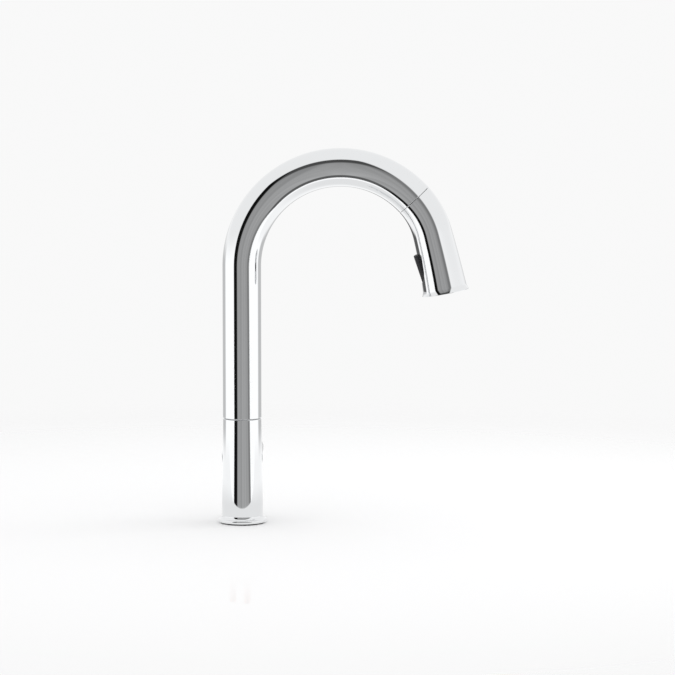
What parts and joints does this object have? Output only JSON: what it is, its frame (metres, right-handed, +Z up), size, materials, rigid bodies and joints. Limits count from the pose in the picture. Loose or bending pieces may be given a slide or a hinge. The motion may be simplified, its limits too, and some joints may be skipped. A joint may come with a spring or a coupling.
{
  "type": "pull down kitchen faucet",
  "caption": "Single lever kitchen faucet with a high swivelling arch spout, a curved magnetic pull down sprayhead and a rocker spray toggle.",
  "frame": {"origin": "on the axis of the body, on top of the deck that the gasket rests on", "axes": "+Z up along the body, +X the way the spout reaches, +Y the side the handle is on"},
  "size_m": [0.2639, 0.0906, 0.4799],
  "materials": {
    "chrome": "mirror polished chrome plate",
    "brass": "machined brass",
    "zinc_steel": "zinc plated",
    "stainless": "fine turned stainless",
    "copper": "drawn copper tube",
    "magnet": "nickel plated magnet",
    "black_rubber": "matte moulded rubber",
    "nozzle_rubber": "soft silicone",
    "hose_braid": "woven nylon braid",
    "black_plastic": "fine moulded grain",
    "toggle_black": "soft matte moulding",
    "grey_plastic": "moulded acetal",
    "face_grey": "moulded plastic",
    "white_plastic": "moulded acetal",
    "ceramic": "lapped alumina ceramic"
  },
  "bodies": {
    "base": {"threaded_shank": "brass", "mounting_washer": "zinc_steel", "mounting_nut": "brass", "nut_clamp_screws": "zinc_steel", "deck_gasket": "black_rubber", "base_flange": "chrome", "body_shell": "chrome", "valve_manifold": "brass", "hot_inlet_tube": "copper", "cold_inlet_tube": "copper", "outlet_tube": "copper", "cartridge_body": "white_plastic", "port_seals": "black_rubber", "fixed_disc": "ceramic", "retaining_nut": "brass", "bonnet_dome": "chrome", "swivel_neck": "brass", "swivel_bush_lower": "white_plastic", "swivel_bush_upper": "white_plastic", "friction_rings": "black_rubber", "thrust_washer": "grey_plastic", "retaining_clip": "stainless"},
    "spout": {"spout_sleeve": "brass", "spout_tube": "chrome", "docking_collar": "black_plastic", "docking_magnet": "magnet", "pull_down_hose": "hose_braid", "hose_tail_connector": "brass"},
    "hose_end": {"hose_end_fitting": "brass"},
    "sprayhead": {"head_shell": "chrome", "docking_plug": "black_plastic", "head_magnet_plate": "stainless", "check_valve": "white_plastic", "head_waterway": "grey_plastic", "diverter_barrel": "grey_plastic", "toggle_frame": "black_plastic", "toggle_pin": "stainless", "face_housing": "grey_plastic", "spray_face": "face_grey", "spray_nozzles": "nozzle_rubber", "aerator": "white_plastic"},
    "toggle": {"spray_toggle": "toggle_black"},
    "diverter": {"diverter_spool": "white_plastic", "spool_seals": "black_rubber"},
    "mixer": {"cartridge_carrier": "grey_plastic", "stem_pin": "stainless"},
    "handle": {"cartridge_stem": "stainless", "handle_hub": "chrome", "handle_lever": "chrome", "handle_set_screw": "zinc_steel", "handle_plug": "grey_plastic"},
    "valve_disc": {"moving_disc": "ceramic"}
  },
  "joints": [
    {"name": "spout_swivel", "type": "hinge", "parent": "base", "child": "spout", "pos_m": [0, 0, 0.1112], "axis": [0, 0, 1], "continuous": true},
    {"name": "sprayhead_pull", "type": "slide", "parent": "spout", "child": "hose_end", "axis": [0.673, 0, -0.7396], "range_m": [0, 0.3], "deforming": ["pull_down_hose"]},
    {"name": "sprayhead_turn", "type": "hinge", "parent": "hose_end", "child": "sprayhead", "pos_m": [0.18023, 0, 0.34082], "axis": [0.673, 0, -0.7396], "continuous": true},
    {"name": "spray_toggle", "type": "hinge", "parent": "sprayhead", "child": "toggle", "pos_m": [0.18737, 0, 0.26863], "axis": [0, 1, 0], "range_deg": [0, 15]},
    {"name": "diverter_shift", "type": "slide", "parent": "sprayhead", "child": "diverter", "axis": [0.976, 0, 0.2179], "range_m": [0, 0.0025]},
    {"name": "handle_turn", "type": "hinge", "parent": "base", "child": "mixer", "pos_m": [0, 0.027, 0.069], "axis": [0, 1, 0], "range_deg": [-50, 50]},
    {"name": "handle_lift", "type": "hinge", "parent": "mixer", "child": "handle", "pos_m": [0, 0.027, 0.069], "axis": [-1, 0, 0], "range_deg": [0, 25]},
    {"name": "disc_shift", "type": "slide", "parent": "mixer", "child": "valve_disc", "axis": [0, 0, 1], "range_m": [0, 0.00269]}
  ],
  "couplings": [
    {"joint": "diverter_shift", "follows": "spray_toggle", "m_per_rad": 0.0092},
    {"joint": "disc_shift", "follows": "handle_lift", "m_per_rad": 0.00615}
  ]
}
